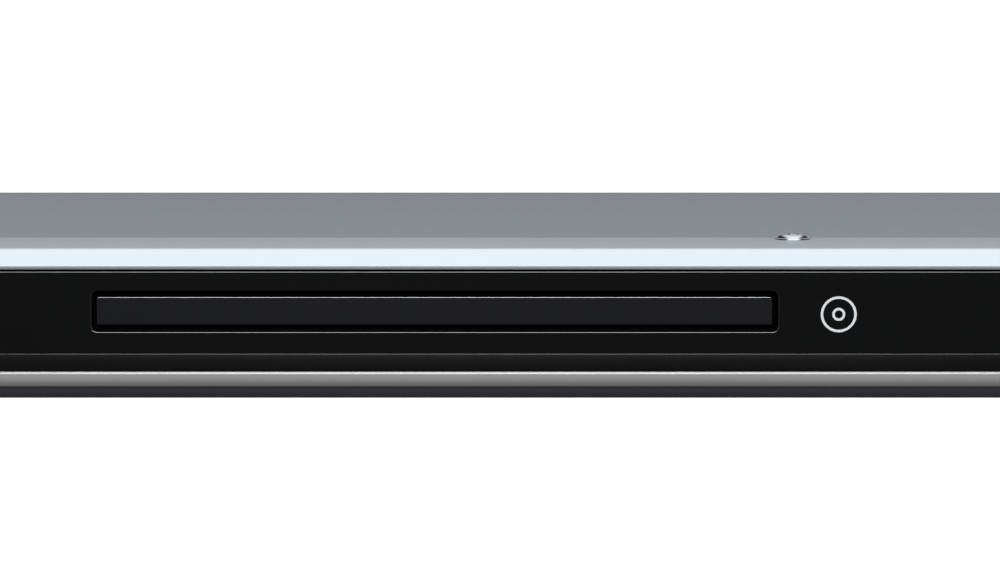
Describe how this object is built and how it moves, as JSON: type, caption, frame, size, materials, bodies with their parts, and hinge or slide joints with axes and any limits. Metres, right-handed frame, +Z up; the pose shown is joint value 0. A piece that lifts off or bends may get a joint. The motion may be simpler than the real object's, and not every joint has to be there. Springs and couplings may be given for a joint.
{
  "type": "disc player with drawer tray",
  "caption": "Slim stand-alone disc player with a motor-driven drawer tray, painted steel cover and black front panel",
  "frame": {"origin": "middle of the footprint, on the surface that the feet stand on", "axes": "+X to the player's right seen from the front, +Y to the back, +Z up"},
  "size_m": [0.4332, 0.23, 0.0387],
  "materials": {
    "cover_paint": "satin",
    "case_steel": "satin",
    "screw_steel": "polished",
    "panel_black": "gloss",
    "door_black": "satin",
    "button_black": "satin",
    "trim_silver": "satin",
    "bezel_grey": "matte",
    "foot_rubber": "matte",
    "window_smoke": "gloss",
    "display_glass": "gloss",
    "lamp_red": "gloss",
    "receiver_dark": "gloss",
    "board_green": "satin",
    "board_brown": "satin",
    "switch_metal": "satin",
    "chip_black": "matte",
    "winding_yellow": "satin",
    "capacitor_sleeve": "satin",
    "fin_aluminium": "satin",
    "inlet_black": "matte",
    "jack_nickel": "polished",
    "socket_black": "matte",
    "standoff_brass": "satin",
    "white_film": "satin",
    "loader_plastic": "matte",
    "tray_plastic": "satin",
    "clamper_plastic": "satin",
    "motor_can": "satin",
    "gear_ivory": "satin",
    "belt_rubber": "matte",
    "traverse_plastic": "matte",
    "rod_steel": "polished",
    "turntable_rubber": "matte",
    "sled_metal": "satin",
    "lens_glass": "clear"
  },
  "bodies": {
    "case": {"top_cover": "cover_paint", "chassis_base": "case_steel", "rear_panel": "case_steel", "front_panel": "panel_black", "lower_trim_strip": "trim_silver", "lower_bezel": "bezel_grey", "feet": "foot_rubber", "foot_screws": "screw_steel", "cover_front_screw": "screw_steel", "cover_side_screws": "screw_steel", "cover_rear_screws": "screw_steel", "display_window": "window_smoke", "display_module": "display_glass", "standby_lamp": "lamp_red", "infrared_receiver": "receiver_dark", "control_board": "board_green", "power_switch_board": "board_green", "tact_switches": "switch_metal", "mains_inlet": "inlet_black", "power_board": "board_brown", "transformer": "winding_yellow", "bulk_capacitor": "capacitor_sleeve", "heatsink": "fin_aluminium", "main_board": "board_green", "decoder_chip": "chip_black", "video_jacks": "jack_nickel", "audio_jacks": "jack_nickel", "digital_jack": "jack_nickel", "s_video_socket": "socket_black", "board_standoffs": "standoff_brass", "board_screws": "screw_steel", "ribbon_cable": "white_film", "loader_frame": "loader_plastic", "loader_grommets": "foot_rubber", "loader_screws": "screw_steel", "clamp_bridge": "case_steel", "loading_motor": "motor_can", "loading_belt": "belt_rubber"},
    "tray": {"tray": "tray_plastic", "tray_door": "door_black"},
    "drive_gear": {"drive_gear": "gear_ivory"},
    "pulley_gear": {"pulley_gear": "gear_ivory"},
    "motor_pulley": {"motor_pulley": "gear_ivory"},
    "cam_slider": {"cam_slider": "gear_ivory"},
    "traverse": {"traverse_frame": "traverse_plastic", "guide_rods": "rod_steel", "spindle_motor": "motor_can", "sled_motor": "motor_can"},
    "turntable": {"turntable": "turntable_rubber"},
    "pickup": {"pickup_sled": "sled_metal", "objective_lens": "lens_glass"},
    "sled_gear": {"sled_gear": "gear_ivory"},
    "sled_pinion": {"sled_pinion": "gear_ivory"},
    "clamper": {"clamper": "clamper_plastic"},
    "power_button": {"power_button": "button_black"},
    "open_close_button": {"open_close_button": "button_black"},
    "play_button": {"play_button": "button_black"},
    "stop_button": {"stop_button": "button_black"},
    "skip_button": {"skip_button": "button_black"}
  },
  "joints": [
    {"name": "tray_slide", "type": "slide", "parent": "case", "child": "tray", "axis": [0, -1, 0], "range_m": [0, 0.138]},
    {"name": "drive_gear_spin", "type": "hinge", "parent": "case", "child": "drive_gear", "pos_m": [-0.135, -0.089, 0.016], "axis": [0, 0, 1], "range_deg": [0, 878.54]},
    {"name": "pulley_gear_spin", "type": "hinge", "parent": "case", "child": "pulley_gear", "pos_m": [-0.1142, -0.089, 0.016], "axis": [0, 0, 1], "range_deg": [-2928.45, 0]},
    {"name": "motor_pulley_spin", "type": "hinge", "parent": "case", "child": "motor_pulley", "pos_m": [-0.09, -0.094, 0.018], "axis": [0, 0, 1], "range_deg": [-8173.44, 0]},
    {"name": "cam_slide", "type": "slide", "parent": "case", "child": "cam_slider", "axis": [1, 0, 0], "range_m": [0, 0.012]},
    {"name": "traverse_lift", "type": "hinge", "parent": "case", "child": "traverse", "pos_m": [-0.072, 0.042, 0.014], "axis": [-1, 0, 0], "range_deg": [0, 3.5]},
    {"name": "turntable_spin", "type": "hinge", "parent": "traverse", "child": "turntable", "pos_m": [-0.0804, -0.04133, 0.01692], "axis": [0, -0.061, 0.9981], "continuous": true},
    {"name": "pickup_slide", "type": "slide", "parent": "traverse", "child": "pickup", "axis": [0, 0.9981, 0.061], "range_m": [0, 0.034]},
    {"name": "sled_gear_spin", "type": "hinge", "parent": "traverse", "child": "sled_gear", "pos_m": [-0.0424, 0.00888, 0.01498], "axis": [0, -0.061, 0.9981], "range_deg": [-347.87, 0]},
    {"name": "sled_pinion_spin", "type": "hinge", "parent": "traverse", "child": "sled_pinion", "pos_m": [-0.03391, 0.00029, 0.01646], "axis": [0, -0.061, 0.9981], "range_deg": [0, 1043.6]},
    {"name": "clamper_spin", "type": "hinge", "parent": "case", "child": "clamper", "pos_m": [-0.0804, -0.041, 0.028], "axis": [0, 0, 1], "continuous": true},
    {"name": "power_press", "type": "slide", "parent": "case", "child": "power_button", "axis": [0, 1, 0], "range_m": [0, 0.0005], "stiffness_N_per_m": 400},
    {"name": "open_close_press", "type": "slide", "parent": "case", "child": "open_close_button", "axis": [0, 1, 0], "range_m": [0, 0.0005], "stiffness_N_per_m": 400},
    {"name": "play_press", "type": "slide", "parent": "case", "child": "play_button", "axis": [0, 1, 0], "range_m": [0, 0.0005], "stiffness_N_per_m": 400},
    {"name": "stop_press", "type": "slide", "parent": "case", "child": "stop_button", "axis": [0, 1, 0], "range_m": [0, 0.0005], "stiffness_N_per_m": 400},
    {"name": "skip_press", "type": "slide", "parent": "case", "child": "skip_button", "axis": [0, 1, 0], "range_m": [0, 0.0005], "stiffness_N_per_m": 400}
  ],
  "couplings": [
    {"joint": "drive_gear_spin", "follows": "tray_slide", "rad_per_m": 111.11},
    {"joint": "pulley_gear_spin", "follows": "tray_slide", "rad_per_m": -370.37},
    {"joint": "motor_pulley_spin", "follows": "tray_slide", "rad_per_m": -1033.7},
    {"joint": "traverse_lift", "follows": "cam_slide", "rad_per_m": 5.0905},
    {"joint": "sled_gear_spin", "follows": "pickup_slide", "rad_per_m": -178.57},
    {"joint": "sled_pinion_spin", "follows": "pickup_slide", "rad_per_m": 535.71}
  ]
}
